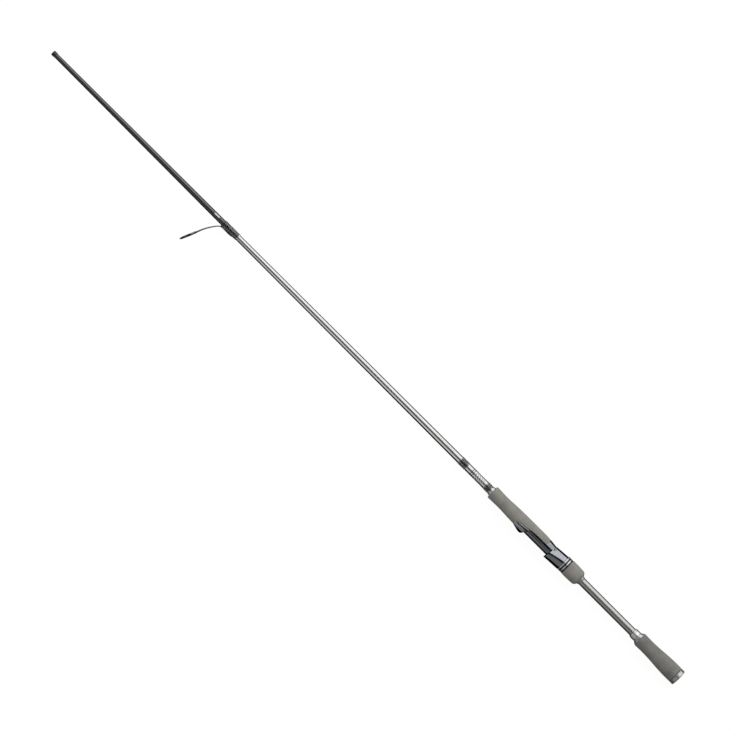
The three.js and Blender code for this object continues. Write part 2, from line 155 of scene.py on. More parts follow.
class RodSizes(bpy.types.PropertyGroup):
    """Fineness and small sizes of the finished pieces."""

    sides: bpy.props.IntProperty(
        name="Sides", description="Sides of every turned piece", default=96, min=24, max=256
    )
    edge: bpy.props.FloatProperty(
        name="Edge radius", description="Radius of the eased edges on the moulded pieces",
        default=0.00035, min=0.0, unit="LENGTH",
    )
    thread: bpy.props.FloatProperty(
        name="Wrapping thread", description="Diameter of the thread in the wraps",
        default=0.0002, min=0.0001, unit="LENGTH",
    )
    screw_pitch: bpy.props.FloatProperty(
        name="Screw pitch", description="Travel of the locking nut in one turn",
        default=0.002, min=0.0005, unit="LENGTH",
    )


class RodColours(bpy.types.PropertyGroup):
    """Colours of the finishes."""

    foam: bpy.props.FloatVectorProperty(
        name="Foam", description="Colour of the foam grips", subtype="COLOR",
        default=(0.190, 0.182, 0.167), min=0.0, max=1.0,
    )
    tube: bpy.props.FloatVectorProperty(
        name="Handle tube", description="Satin metallic finish inside the handle", subtype="COLOR",
        default=(0.46, 0.46, 0.455), min=0.0, max=1.0,
    )
    silver: bpy.props.FloatVectorProperty(
        name="Blank silver", description="Metallic paint on the lower blank", subtype="COLOR",
        default=(0.56, 0.56, 0.555), min=0.0, max=1.0,
    )
    carbon: bpy.props.FloatVectorProperty(
        name="Blank black", description="Varnished carbon in front of the guide", subtype="COLOR",
        default=(0.10, 0.10, 0.103), min=0.0, max=1.0,
    )
    seat: bpy.props.FloatVectorProperty(
        name="Seat", description="Dark metallic finish of the seat and hoods", subtype="COLOR",
        default=(0.30, 0.32, 0.345), min=0.0, max=1.0,
    )
    metal: bpy.props.FloatVectorProperty(
        name="Trim metal", description="Polished metal of the checks and rings", subtype="COLOR",
        default=(0.83, 0.83, 0.82), min=0.0, max=1.0,
    )
    thread: bpy.props.FloatVectorProperty(
        name="Thread", description="Colour of the wrapping thread", subtype="COLOR",
        default=(0.004, 0.004, 0.0045), min=0.0, max=1.0,
    )


def sizes():
    return bpy.context.scene.rod_sizes


def colours():
    return bpy.context.scene.rod_colours


# ---------------------------------------------------------------------------------------------
# Node graphs written as Python expressions


class Wire:
    """An output socket that takes part in arithmetic by adding Math nodes."""

    def __init__(self, graph, socket):
        self.graph = graph
        self.socket = socket

    def __add__(self, other):
        return self.graph.math("ADD", self, other)

    __radd__ = __add__

    def __sub__(self, other):
        return self.graph.math("SUBTRACT", self, other)

    def __rsub__(self, other):
        return self.graph.math("SUBTRACT", other, self)

    def __mul__(self, other):
        return self.graph.math("MULTIPLY", self, other)

    __rmul__ = __mul__

    def __truediv__(self, other):
        return self.graph.math("DIVIDE", self, other)

    def __gt__(self, other):
        return self.graph.math("GREATER_THAN", self, other)


class Graph:
    """Adds nodes to a shader or geometry tree."""

    def __init__(self, tree):
        self.tree = tree

    def node(self, kind, settings=None, inputs=None, output=0):
        made = self.tree.nodes.new(kind)
        for name, value in (settings or {}).items():
            if name == "stops":
                self.set_stops(made.color_ramp, value)
            else:
                setattr(made, name, value)
        for key, value in (inputs or {}).items():
            self.feed(made.inputs[key], value)
        return Wire(self, made.outputs[output]) if made.outputs else None

    def set_stops(self, ramp, stops):
        while len(ramp.elements) < len(stops):
            ramp.elements.new(0.5)
        for element, (position, shade) in zip(ramp.elements, stops):
            element.position = position
            element.color = (shade, shade, shade, 1)

    def feed(self, socket, value):
        if isinstance(value, Wire):
            self.tree.links.new(value.socket, socket)
        else:
            socket.default_value = value

    def math(self, operation, *values):
        return self.node("ShaderNodeMath", {"operation": operation}, dict(enumerate(values)))


class Paint(Graph):
    """A material whose patterns are laid out in millimetres about a centre."""

    def __init__(self, name, centre=(0, 0, 0)):
        self.material = bpy.data.materials.new(name)
        self.material.use_nodes = True
        super().__init__(self.material.node_tree)
        self.tree.nodes.clear()
        objects = self.node("ShaderNodeTexCoord", output="Object")
        self.place = self.node("ShaderNodeMapping", {"vector_type": "POINT"}, {
            "Vector": objects,
            "Location": tuple(-value for value in centre),
            "Scale": (1 / MM,) * 3,
        })
        self.x, self.y, self.z = (
            self.node("ShaderNodeSeparateXYZ", inputs={"Vector": self.place}, output=axis)
            for axis in ("X", "Y", "Z")
        )

    def noise(self, scale, detail=3.0, stretch=None):
        """Soft noise; scale is in waves per millimetre."""
        vector = self.place
        if stretch:
            vector = self.node("ShaderNodeMapping", inputs={"Vector": self.place, "Scale": stretch})
        return self.node(
            "ShaderNodeTexNoise", inputs={"Vector": vector, "Scale": scale, "Detail": detail}
        )

    def cells(self, scale):
        """Distance inside small cells; scale is in cells per millimetre."""
        return self.node("ShaderNodeTexVoronoi", inputs={"Vector": self.place, "Scale": scale})

    def ramp(self, value, *stops):
        return self.node("ShaderNodeValToRGB", {"stops": stops}, {"Fac": value})

    def between(self, value, low, high, soft=0.05):
        """1 where a value lies between two limits, with soft edges."""
        rise = self.node("ShaderNodeMapRange", {"interpolation_type": "SMOOTHSTEP"}, {
            "Value": value, "From Min": low - soft, "From Max": low + soft,
        })
        fall = self.node("ShaderNodeMapRange", {"interpolation_type": "SMOOTHSTEP"}, {
            "Value": value, "From Min": high - soft, "From Max": high + soft,
        })
        return rise * (1 - fall)

    def mixed(self, share, first, second):
        """A colour between two colours."""
        inputs = {0: share}
        for key, value in ((6, first), (7, second)):
            inputs[key] = value if isinstance(value, Wire) else (*value, 1)
        return self.node("ShaderNodeMix", {"data_type": "RGBA"}, inputs, output=2)

    def bump(self, height, depth, strength=1.0):
        """A relief normal; depth is in millimetres."""
        return self.node("ShaderNodeBump", inputs={
            "Height": height, "Distance": depth * MM, "Strength": strength,
        })

    def finish(self, **sockets):
        """Adds the surface shader and returns the material."""
        inputs = {name.replace("_", " "): value for name, value in sockets.items()}
        shader = self.node("ShaderNodeBsdfPrincipled", inputs=inputs)
        self.node("ShaderNodeOutputMaterial", inputs={"Surface": shader})
        return self.material


# ---------------------------------------------------------------------------------------------
# Finishes


def foam_finish(name, tone):
    """Firm closed-cell foam: fine pits darkened with painted shade, pale flecks and slow cloudy changes of
    tone.
    """
    paint = Paint(name)
    pits = paint.cells(2.6)
    grain = paint.noise(5.0, 4.0)
    clouds = paint.noise(0.09, 3.0)
    handling = paint.noise(0.35, 4.0)
    pit_mask = paint.ramp(pits, (0.10, 1), (0.34, 0))
    base = tuple(value * tone for value in colours().foam)
    dark = tuple(value * 0.84 for value in base)
    pale = tuple(value * 1.16 for value in base)
    cloudy = paint.mixed(paint.ramp(clouds, (0.3, 0), (0.7, 1)), dark, pale)
    flecked = paint.mixed(
        paint.ramp(grain, (0.45, 0), (0.78, 1)) * 0.5, cloudy, tuple(v * 1.5 for v in base)
    )
    # Painted shade: the pits are darkened in the colour, on top of the relief that sinks them below.
    pit_painted_shade = paint.mixed(pit_mask * 0.5, flecked, tuple(v * 0.45 for v in base))
    relief = grain * 0.35 + (1 - pit_mask) * 0.65
    return paint.finish(
        Base_Color=pit_painted_shade,
        Roughness=0.86 - paint.ramp(handling, (0.4, 0), (0.8, 1)) * 0.14,
        Normal=paint.bump(relief, 0.09, 0.8),
        Sheen_Weight=0.12,
        Sheen_Roughness=0.6,
        Specular_IOR_Level=0.3,
    )


def blank_marks(paint, angle):
    """Masks of the plain marks on the blank: dark rings and strokes, pale stripes and dashes, and red
    dashes; and of a pale patch on its top just in front of the guide's foot."""
    facing = paint.z > 0
    rings = paint.between(paint.x, 358.6, 359.4) + paint.between(paint.x, 361.2, 362)
    lean = paint.math("FRACT", (paint.x - angle * 3.4) * 0.3)
    zone = paint.between(paint.x, 340.5, 356.5, 0.3)
    stripes = zone * paint.between(lean, 0.28, 0.6, 0.04)
    strokes = zone * paint.between(lean, 0.72, 0.88, 0.04)
    dashes = paint.between(paint.math("FRACT", paint.x / 5.6), 0.25, 0.6, 0.03)
    row = paint.between(paint.x, 489, 542) * dashes * paint.between(paint.y, -1.0, 0.9, 0.1)
    # A pale patch on the top of the blank, from x 804.5 to 812.5 mm, just in front of the guide's foot.
    pale_patch = paint.between(paint.x, 804.5, 812.5) * paint.between(paint.y, -2.2, -0.2, 0.1)
    ticks = paint.between(paint.math("FRACT", paint.x / 2.6), 0.2, 0.6, 0.06)
    groups = paint.between(paint.x, 395, 408) + paint.between(paint.x, 413, 421)
    red = groups * ticks * paint.between(paint.y, -2.6, -0.4, 0.1) * facing
    pale = stripes * 0.85 + (row * 0.3 + pale_patch * 0.9) * facing
    return paint.math("MAXIMUM", rings, strokes * 0.9), pale, red


def blank_finish():
    """Satin metal inside the handle, silver paint up to the guide and carbon beyond it, the last
    two under gloss varnish."""
    paint = Paint("varnished_blank")
    angle = paint.math("ARCTAN2", paint.z, paint.y)
    handle = paint.between(paint.x, -10, FOREGRIP.end + 2, 0.2)
    front = paint.between(paint.x, GUIDE_WRAP.start + 8, 3000, 0.2)
    flakes = paint.cells(9.0)
    drawn = paint.noise(0.8, 3.0, (0.02, 6, 6))
    clouds = paint.noise(0.02, 2.0)
    lively = paint.ramp(flakes, (0.1, 0), (0.6, 1)) * 0.3 + drawn * 0.5
    silver = paint.mixed(
        lively,
        tuple(value * 0.93 for value in colours().silver),
        tuple(min(1, value * 1.07) for value in colours().silver),
    )
    satin = paint.mixed(
        lively,
        tuple(value * 0.93 for value in colours().tube),
        tuple(value * 1.07 for value in colours().tube),
    )
    tape = paint.math("FRACT", paint.x * 0.16 + angle * (0.5 / math.pi))
    tape_edge = paint.between(tape, 0.47, 0.53, 0.03)
    carbon = paint.mixed(
        tape_edge * 0.4 + clouds * 0.5,
        tuple(value * 0.85 for value in colours().carbon),
        tuple(value * 1.3 for value in colours().carbon),
    )
    dark, pale, red = blank_marks(paint, angle)
    coat = paint.mixed(handle, paint.mixed(front, silver, carbon), satin)
    coat = paint.mixed(pale, coat, (0.78, 0.78, 0.77))
    coat = paint.mixed(dark, coat, (0.012, 0.012, 0.013))
    coat = paint.mixed(red * 0.45, coat, (0.50, 0.10, 0.08))
    scuffs = paint.ramp(paint.noise(1.4, 5.0), (0.5, 0), (0.9, 1))
    return paint.finish(
        Base_Color=coat,
        Metallic=(1 - pale) * (1 - dark) * 0.95,
        Roughness=0.13 + handle * 0.16 + scuffs * 0.06,
        Normal=paint.bump(tape_edge * 0.5 + drawn * 0.06, 0.012, 0.2),
        Coat_Weight=(1 - handle) * 0.5,
        Coat_Roughness=0.04,
    )


def seat_finish(name, lift=1.0):
    """Dark metallic lacquer over moulded plastic, with fine handling marks."""
    paint = Paint(name)
    marks = paint.noise(2.2, 5.0, (0.3, 1, 1))
    clouds = paint.noise(0.12, 3.0)
    flakes = paint.cells(11.0)
    base = tuple(value * lift for value in colours().seat)
    body = paint.mixed(
        paint.ramp(clouds, (0.3, 0), (0.7, 1)) * 0.5 + paint.ramp(flakes, (0.1, 0), (0.5, 1)) * 0.3,
        tuple(value * 0.88 for value in base), tuple(value * 1.12 for value in base),
    )
    return paint.finish(
        Base_Color=body,
        Metallic=1.0,
        Roughness=0.17 + paint.ramp(marks, (0.5, 0), (0.85, 1)) * 0.1,
        Normal=paint.bump(marks, 0.01, 0.25),
        Coat_Weight=0.4,
        Coat_Roughness=0.05,
    )


def black_finish(name):
    """Gloss black anodised or moulded trim with faint turned lines."""
    paint = Paint(name)
    lines = paint.node("ShaderNodeTexWave", {"bands_direction": "X"}, {
        "Vector": paint.place, "Scale": 1.6, "Distortion": 0.6, "Detail": 2.0,
    })
    marks = paint.noise(2.0, 4.0)
    worn = paint.ramp(marks, (0.4, 0), (0.8, 1))
    body = paint.mixed(worn, (0.010, 0.010, 0.011), (0.022, 0.022, 0.024))
    return paint.finish(
        Base_Color=body,
        Roughness=0.14 + marks * 0.12,
        Normal=paint.bump(lines, 0.01, 0.2),
        Coat_Weight=0.5,
        Coat_Roughness=0.05,
    )


def metal_finish(name="turned_metal", shade=1.0, gloss=0.17, purity=0.65):
    """Turned and plated metal with fine tool lines; a lower purity is milkier."""
    paint = Paint(name)
    lines = paint.node("ShaderNodeTexWave", {"bands_direction": "X"}, {
        "Vector": paint.place, "Scale": 2.4, "Distortion": 0.4, "Detail": 3.0, "Detail Scale": 4.0,
    })
    stains = paint.noise(0.4, 4.0)
    base = tuple(value * shade for value in colours().metal)
    body = paint.mixed(paint.ramp(stains, (0.35, 0), (0.75, 1)), base, tuple(v * 0.8 for v in base))
    return paint.finish(
        Base_Color=body,
        Metallic=purity,
        Roughness=gloss + lines * 0.08 + stains * 0.05,
        Normal=paint.bump(lines, 0.012, 0.35),
    )


def thread_finish():
    """Wound nylon thread: twisted strands along each turn, raised in the bump, with a painted sheen along
    the twist in its colour.
    """
    paint = Paint("wrapping_thread")
    angle = paint.math("ARCTAN2", paint.z, paint.y)
    twist_and_painted_sheen = paint.math("SINE", angle * 60 + paint.x * 20)
    fuzz = paint.noise(6.0, 3.0)
    base = tuple(colours().thread)
    # Painted sheen: the thread's colour is lightened threefold in bands along the twist.
    body = paint.mixed(twist_and_painted_sheen * 0.5 + 0.5, base, tuple(v * 3 for v in base))
    return paint.finish(
        Base_Color=body,
        Roughness=0.6 + fuzz * 0.2,
        Normal=paint.bump(twist_and_painted_sheen, 0.01, 0.4),
        Specular_IOR_Level=0.15,
    )


def varnish_finish():
    """Clear brushed varnish with slow waves in its surface."""
    paint = Paint("clear_varnish")
    waves = paint.noise(0.25, 2.0)
    dust = paint.cells(1.2)
    specks = paint.ramp(dust, (0.03, 1), (0.06, 0))
    body = paint.mixed(specks * 0.4, (0.9, 0.9, 0.9), (0.5, 0.5, 0.5))
    return paint.finish(
        Base_Color=body,
        Roughness=0.02 + waves * 0.04,
        Normal=paint.bump(waves, 0.08, 0.2),
        Transmission_Weight=1.0,
        IOR=1.6,
    )


def guide_metal_finish():
    """Polished smoky steel of the guide's frame."""
    paint = Paint("guide_steel")
    brushed = paint.noise(3.0, 4.0, (1, 1, 0.15))
    stains = paint.noise(0.5, 3.0)
    body = paint.mixed(paint.ramp(stains, (0.35, 0), (0.75, 1)), (0.26, 0.26, 0.27), (0.17, 0.17, 0.18))
    return paint.finish(
        Base_Color=body,
        Metallic=1.0,
        Roughness=0.16 + brushed * 0.12,
        Normal=paint.bump(brushed, 0.008, 0.3),
    )


def ceramic_finish():
    """Polished black ceramic with a faint crystal grain."""
    paint = Paint("guide_ceramic")
    grain = paint.cells(7.0)
    crystals = paint.ramp(grain, (0.1, 0), (0.6, 1))
    body = paint.mixed(crystals, (0.012, 0.012, 0.014), (0.03, 0.03, 0.034))
    return paint.finish(
        Base_Color=body,
        Roughness=0.07 + grain * 0.05,
        Normal=paint.bump(grain, 0.004, 0.2),
        Specular_IOR_Level=0.75,
    )


def arbor_finish():
    """Built-up bushing tape."""
    paint = Paint("arbor_tape")
    angle = paint.math("ARCTAN2", paint.z, paint.y)
    weave = paint.math("SINE", paint.x * 12) * paint.math("SINE", angle * 70)
    stains = paint.noise(0.3, 3.0)
    body = paint.mixed(stains, (0.62, 0.52, 0.35), (0.45, 0.36, 0.22))
    return paint.finish(
        Base_Color=body,
        Roughness=0.8 + weave * 0.08,
        Normal=paint.bump(weave, 0.03, 0.5),
    )


FINISHES = {
    "foam": lambda: foam_finish("front_foam", 1.8),
    # The same foam as the front, painted darker (tone 1.42 against 1.8): painted shade for the weaker light
    # on the rear grip.
    "rear_foam": lambda: foam_finish("rear_foam", 1.42),
    "blank_paint": blank_finish,
    "hood_black": lambda: seat_finish("hood_lacquer"),
    "gloss_black": lambda: seat_finish("seat_lacquer", 0.72),
    "black_trim": lambda: black_finish("black_trim"),
    "silver": metal_finish,
    "satin_cap": lambda: metal_finish("satin_cap", 0.75, 0.26, 0.7),
    "black_thread": thread_finish,
    "varnish": varnish_finish,
    "guide_metal": guide_metal_finish,
    "guide_ceramic": ceramic_finish,
    "arbor_tape": arbor_finish,
}
_made_finishes = {}


def finish_named(name):
    """The material of a finish, made once."""
    if name not in _made_finishes:
        _made_finishes[name] = FINISHES[name]()
    return _made_finishes[name]


# ---------------------------------------------------------------------------------------------
# Mesh helpers


def smooth_line(stations, steps):
    """Points of a Catmull-Rom curve through a few stations, steps to a stretch."""
    ends = [stations[0], *stations, stations[-1]]
    points = []
    for before, start, end, after in zip(ends, ends[1:], ends[2:], ends[3:]):
        for step in range(steps):
            t = step / steps
            points.append(tuple(
                0.5 * (2 * b + (c - a) * t + (2 * a - 5 * b + 4 * c - d) * t ** 2
                       + (3 * b - a - 3 * c + d) * t ** 3)
                for a, b, c, d in zip(before, start, end, after)
            ))
    points.append(tuple(stations[-1]))
    return points


def eased(points, radius, steps=3, closed=True):
    """The same outline with every corner rounded off."""
    count = len(points)
    out = []
    for i, corner in enumerate(points):
        if not closed and i in (0, count - 1):
            out.append(corner)
            continue
        here = Vector(corner)
        back = Vector(points[i - 1]) - here
        ahead = Vector(points[(i + 1) % count]) - here
        if back.length < 1e-6 or ahead.length < 1e-6 or back.angle(ahead) > math.radians(168):
            out.append(corner)
            continue
        reach = min(radius, back.length * 0.45, ahead.length * 0.45)
        first = here + back.normalized() * reach
        last = here + ahead.normalized() * reach
        for step in range(steps + 1):
            t = step / steps
            out.append(tuple((1 - t) ** 2 * first + 2 * t * (1 - t) * here + t ** 2 * last))
    return out


def new_object(name, mesh):
    made = bpy.data.objects.new(name, mesh)
    bpy.context.scene.collection.objects.link(made)
    return made


def revolved(name, outline, shape=None, sides=None):
    """A solid turned about the rod from (x, radius) points, drawn towards +X on its outside.
    An outline that doesn't end on the axis closes on itself."""
    sides = sides or sizes().sides
    build = bmesh.new()
    rings = []
    for x, radius in outline:
        if radius < 1e-6:
            rings.append([build.verts.new((x, 0, 0))])
            continue
        rings.append([
            build.verts.new((x, radius * math.cos(a), radius * math.sin(a)))
            for a in (2 * math.pi * i / sides for i in range(sides))
        ])
    pairs = list(zip(rings, rings[1:]))
    if len(rings[0]) > 1:
        pairs.append((rings[-1], rings[0]))
    for first, second in pairs:
        for i in range(sides):
            j = (i + 1) % sides
            corners = [
                first[i % len(first)], first[j % len(first)],
                second[j % len(second)], second[i % len(second)],
            ]
            build.faces.new(list(dict.fromkeys(corners)))
    for vertex in build.verts:
        if shape:
            vertex.co = Vector(shape(*vertex.co))
        vertex.co *= MM
    mesh = bpy.data.meshes.new(name)
    build.to_mesh(mesh)
    build.free()
    return new_object(name, mesh)


def bar(name, start, end, radius, sides=None):
    """A plain round bar along the rod."""
    return revolved(name, [(start, 0), (start, radius), (end, radius), (end, 0)], sides=sides)


def prism(name, outline, half, low=None):
    """A slab with a side outline of (x, y) points, between two heights across the rod."""
    build = bmesh.new()
    bottom = -half if low is None else low
    rings = [[build.verts.new((x * MM, y * MM, z * MM)) for x, y in outline] for z in (bottom, half)]
    build.faces.new(rings[0])
    build.faces.new(rings[1])
    for i in range(len(outline)):
        j = (i + 1) % len(outline)
        build.faces.new([rings[0][i], rings[0][j], rings[1][j], rings[1][i]])
    bmesh.ops.recalc_face_normals(build, faces=build.faces)
    mesh = bpy.data.meshes.new(name)
    build.to_mesh(mesh)
    build.free()
    return new_object(name, mesh)


def block(start, end, low, high, half):
    """A cutting block between two stations and two heights."""
    return prism("cutter", [(start, low), (end, low), (end, high), (start, high)], half)


def settle(piece):
    """Turns an object with modifiers into a plain mesh."""
    depsgraph = bpy.context.evaluated_depsgraph_get()
    mesh = bpy.data.meshes.new_from_object(piece.evaluated_get(depsgraph), depsgraph=depsgraph)
    piece.modifiers.clear()
    piece.data = mesh
    mesh.name = piece.name
    return piece


def carve(piece, operation, *tools):
    """Joins to, cuts from or keeps in common with a piece, and removes the tools."""
    for tool in tools:
        modifier = piece.modifiers.new("carve", "BOOLEAN")
        modifier.operation = operation
        modifier.solver = "EXACT"
        modifier.object = tool
        settle(piece)
        bpy.data.objects.remove(tool)
    return piece


def ease_edges(piece, width, segments=2, angle=32):
    """Rounds the sharp edges of a piece."""
    modifier = piece.modifiers.new("ease", "BEVEL")
    modifier.width = width * MM
    modifier.segments = segments
    modifier.limit_method = "ANGLE"
    modifier.angle_limit = math.radians(angle)
    modifier.use_clamp_overlap = True
    modifier.miter_outer = "MITER_ARC"
    return settle(piece)


def moved(piece, matrix):
    """Moves the points of a piece; the matrix is in millimetres."""
    to_metres = Matrix.Scale(MM, 4)
    piece.data.transform(to_metres @ matrix @ to_metres.inverted())
    return piece


def complete(piece, nodes, body, slot, finish=None, sharp=38):
    """Gives a finished piece its material, shading and body, and hides the CAD nodes that it replaces."""
    piece.data.materials.clear()
    piece.data.materials.append(finish_named(finish or slot))
    piece.data.shade_smooth()
    piece.data.set_sharp_from_angle(angle=math.radians(sharp))
    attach(piece, body)
    if nodes:
        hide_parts(*nodes)
    return piece


# ---------------------------------------------------------------------------------------------
# Geometry Nodes: a bar swept along a path, and a wound thread


def tree_with_inputs(name, inputs):
    """A geometry tree with named inputs; returns it as a graph with the input wires by name."""
    tree = bpy.data.node_groups.new(name, "GeometryNodeTree")
    tree.interface.new_socket("Geometry", in_out="OUTPUT", socket_type="NodeSocketGeometry")
    tree.interface.new_socket("Geometry", in_out="INPUT", socket_type="NodeSocketGeometry")
    for label, kind, value in inputs:
        socket = tree.interface.new_socket(label, in_out="INPUT", socket_type=kind)
        if value is not None:
            socket.default_value = value
    graph = Graph(tree)
    source = tree.nodes.new("NodeGroupInput")
    wires = {socket.name: Wire(graph, socket) for socket in source.outputs if socket.name}
    return graph, wires


def close_tree(graph, geometry, material):
    """Ends a tree with realised geometry that carries its material."""
    real = graph.node("GeometryNodeRealizeInstances", inputs={"Geometry": geometry})
    painted = graph.node("GeometryNodeSetMaterial", inputs={"Geometry": real, "Material": material})
    target = graph.tree.nodes.new("NodeGroupOutput")
    graph.feed(target.inputs["Geometry"], painted)
    return graph.tree


def swept_bar_tree():
    """A round bar along the curve that the tree is given."""
    graph, wires = tree_with_inputs("swept_bar", [
        ("Radius", "NodeSocketFloat", 0.0008),
        ("Sides", "NodeSocketInt", 16),
        ("Material", "NodeSocketMaterial", None),
    ])
    section = graph.node("GeometryNodeCurvePrimitiveCircle", inputs={
        "Resolution": wires["Sides"], "Radius": wires["Radius"],
    })
    swept = graph.node("GeometryNodeCurveToMesh", inputs={
        "Curve": wires["Geometry"], "Profile Curve": section, "Fill Caps": True,
    })
    return close_tree(graph, swept, wires["Material"])


def winding_tree():
    """Thread wound round the rod, raised on one side where it passes over a guide's foot."""
    graph, wires = tree_with_inputs("thread_winding", [
        ("Start", "NodeSocketFloat", 0.0),
        ("Length", "NodeSocketFloat", 0.01),
        ("Turns", "NodeSocketFloat", 10.0),
        ("Start Radius", "NodeSocketFloat", 0.005),
        ("End Radius", "NodeSocketFloat", 0.005),
        ("Thread", "NodeSocketFloat", 0.0001),
        ("Rise", "NodeSocketFloat", 1.0),
        ("Ramp", "NodeSocketFloat", 0.001),
        ("Steps", "NodeSocketInt", 40),
        ("Sides", "NodeSocketInt", 6),
        ("Material", "NodeSocketMaterial", None),
    ])
    spiral = graph.node("GeometryNodeCurveSpiral", inputs={
        "Resolution": wires["Steps"], "Rotations": wires["Turns"],
        "Start Radius": wires["Start Radius"], "End Radius": wires["End Radius"],
        "Height": wires["Length"],
    })
    offset = graph.node("ShaderNodeCombineXYZ", inputs={"X": wires["Start"]})
    laid = graph.node("GeometryNodeTransform", inputs={
        "Geometry": spiral, "Translation": offset, "Rotation": (0, math.pi / 2, 0),
    })
    position = graph.node("GeometryNodeInputPosition")
    x, y, z = (
        graph.node("ShaderNodeSeparateXYZ", inputs={"Vector": position}, output=axis)
        for axis in ("X", "Y", "Z")
    )
    along = graph.node("ShaderNodeMapRange", {"interpolation_type": "SMOOTHSTEP"}, {
        "Value": x, "From Min": wires["Start"], "From Max": wires["Start"] + wires["Ramp"],
    })
    raised = y * (1 + (y > 0) * along * (wires["Rise"] - 1))
    place = graph.node("ShaderNodeCombineXYZ", inputs={"X": x, "Y": raised, "Z": z})
    shaped = graph.node("GeometryNodeSetPosition", inputs={"Geometry": laid, "Position": place})
    section = graph.node("GeometryNodeCurvePrimitiveCircle", inputs={
        "Resolution": wires["Sides"], "Radius": wires["Thread"],
    })
    swept = graph.node("GeometryNodeCurveToMesh", inputs={
        "Curve": shaped, "Profile Curve": section, "Fill Caps": True,
    })
    return close_tree(graph, swept, wires["Material"])


def grown(name, data, tree, values):
    """An object whose geometry comes from a tree, with its inputs set before it is evaluated."""
    host = new_object(name, data)
    modifier = host.modifiers.new("grow", "NODES")
    modifier.node_group = tree
    for item in tree.interface.items_tree:
        if item.in_out == "INPUT" and item.name in values:
            modifier[item.identifier] = values[item.name]
    depsgraph = bpy.context.evaluated_depsgraph_get()
    mesh = bpy.data.meshes.new_from_object(host.evaluated_get(depsgraph), depsgraph=depsgraph)
    bpy.data.objects.remove(host)
    return new_object(name, mesh)


def swept_bar(name, route, radius, sides=16):
    """A round bar along a route of (x, y, z) points in millimetres."""
    curve = bpy.data.curves.new(name, "CURVE")
    curve.dimensions = "3D"
    spline = curve.splines.new("POLY")
    spline.points.add(len(route) - 1)
    for point, place in zip(spline.points, route):
        point.co = (*(value * MM for value in place), 1)
    return grown(name, curve, shared_tree(swept_bar_tree), {
        "Radius": radius * MM, "Sides": sides, "Material": finish_named("guide_metal"),
    })


def wound_thread(name, start, end, radii, thread, rise=1.0, finish="black_thread", pitch=None):
    """Thread wound from one station to another; radii are those of the thread's centre line, and
    the rise on the reel side is reached over the first stretch."""
    pitch = pitch or thread * 0.92
    length = end - start
    mesh = bpy.data.meshes.new(name)
    return grown(name, mesh, shared_tree(winding_tree), {
        "Start": start * MM, "Length": length * MM, "Turns": length / pitch,
        "Start Radius": radii[0] * MM, "End Radius": radii[1] * MM, "Thread": thread / 2 * MM,
        "Rise": rise, "Ramp": FOOT_RAMP * MM, "Steps": 40, "Sides": 6,
        "Material": finish_named(finish),
    })


_trees = {}


def shared_tree(maker):
    """A geometry tree, made once."""
    if maker not in _trees:
        _trees[maker] = maker()
    return _trees[maker]


# ---------------------------------------------------------------------------------------------
# Blank and socket ring


def blank_radius(x):
    """Outer radius of the blank at a station along the rod."""
    along = max(0.0, (x - TAPER_START) / (BLANK.end - TAPER_START))
    return BLANK.side + (TIP_RADIUS - BLANK.side) * along


def blank_bore(x):
    along = max(0.0, (x - TAPER_START) / (BLANK.end - TAPER_START))
    return BLANK_BORE + (TIP_BORE - BLANK_BORE) * along


def make_blank():
    stations = [BLANK.start, 80, 170, 250, TAPER_START]
    stations += [TAPER_START + (BLANK.end - TAPER_START) * i / 24 for i in range(1, 25)]
    outside = [(x, blank_radius(x)) for x in stations]
    inside = [(x, blank_bore(x)) for x in reversed(stations)]
    blank = revolved("blank_tube", outside + inside, sides=64)
    complete(blank, ["blank"], "rod", "blank_paint")


def make_ferrule_ring():
    span = Span("ferrule_ring")
    bore = blank_radius(span.start) + GLUE * 0.6
    groove = 0.14
    outline = eased([
        (span.start, bore),
        (span.start, span.side - 0.12),
        (span.start + 1.2, span.side),
        (span.start + 1.5, span.side - groove),
        (span.start + 1.8, span.side),
        (span.end - 1.0, span.side),
        (span.end - 0.8, span.side - groove),
        (span.end - 0.6, span.side),
        (span.end, span.side - 0.05),
        (span.end, bore),
    ], 0.12, 2)
    ring = revolved("socket_ring", outline, sides=72)
    complete(ring, ["ferrule_ring"], "rod", "gloss_black", "black_trim")


# ---------------------------------------------------------------------------------------------
# Rear handle


def make_butt_cap():
    span = Span("butt_cap")
    cap_end = BLANK.start - SEAM
    spigot = BLANK_BORE - 0.15
    face = span.side - 2.4
    outline = [
        (0, 0),
        (0, face - 0.4),
        (0.25, face),
        *eased([(0.25, face), (0.25, span.side), (cap_end, span.side)], 2.6, 10, closed=False)[1:-1],
        (cap_end - 1.7, span.side),
        (cap_end - 1.5, span.side - 0.25),
        (cap_end - 1.2, span.side - 0.25),
        (cap_end - 1.0, span.side),
        (cap_end - 0.2, span.side),
        (cap_end, span.side - 0.2),
        (cap_end, spigot),
        (span.end - 1, spigot),
        (span.end, spigot - 0.8),
        (span.end, 0),
    ]
    cap = revolved("butt_cap_turned", outline)
    complete(cap, ["butt_cap"], "rod", "silver", "satin_cap")


def make_rear_grip():
    span = Span("rear_grip")
    bore = BLANK.side + GLUE
    skin = smooth_line([
        (span.start + 0.9, 11.1), (17, 11.1), (29, 10.6), (41, 9.7), (54, 9.2), (span.end - 0.9, 9.5),
    ], 10)
    outline = eased([
        (span.start, bore),
        (span.start, 10.6),
        *skin,
        (span.end, 9.0),
        (span.end, bore),
    ], 0.5, 3)
    grip = revolved("rear_grip_foam", outline, sides=128)
    # Its foam is painted darker than the foregrip's, as painted shade.
    complete(grip, ["rear_grip"], "rod", "foam", "rear_foam")


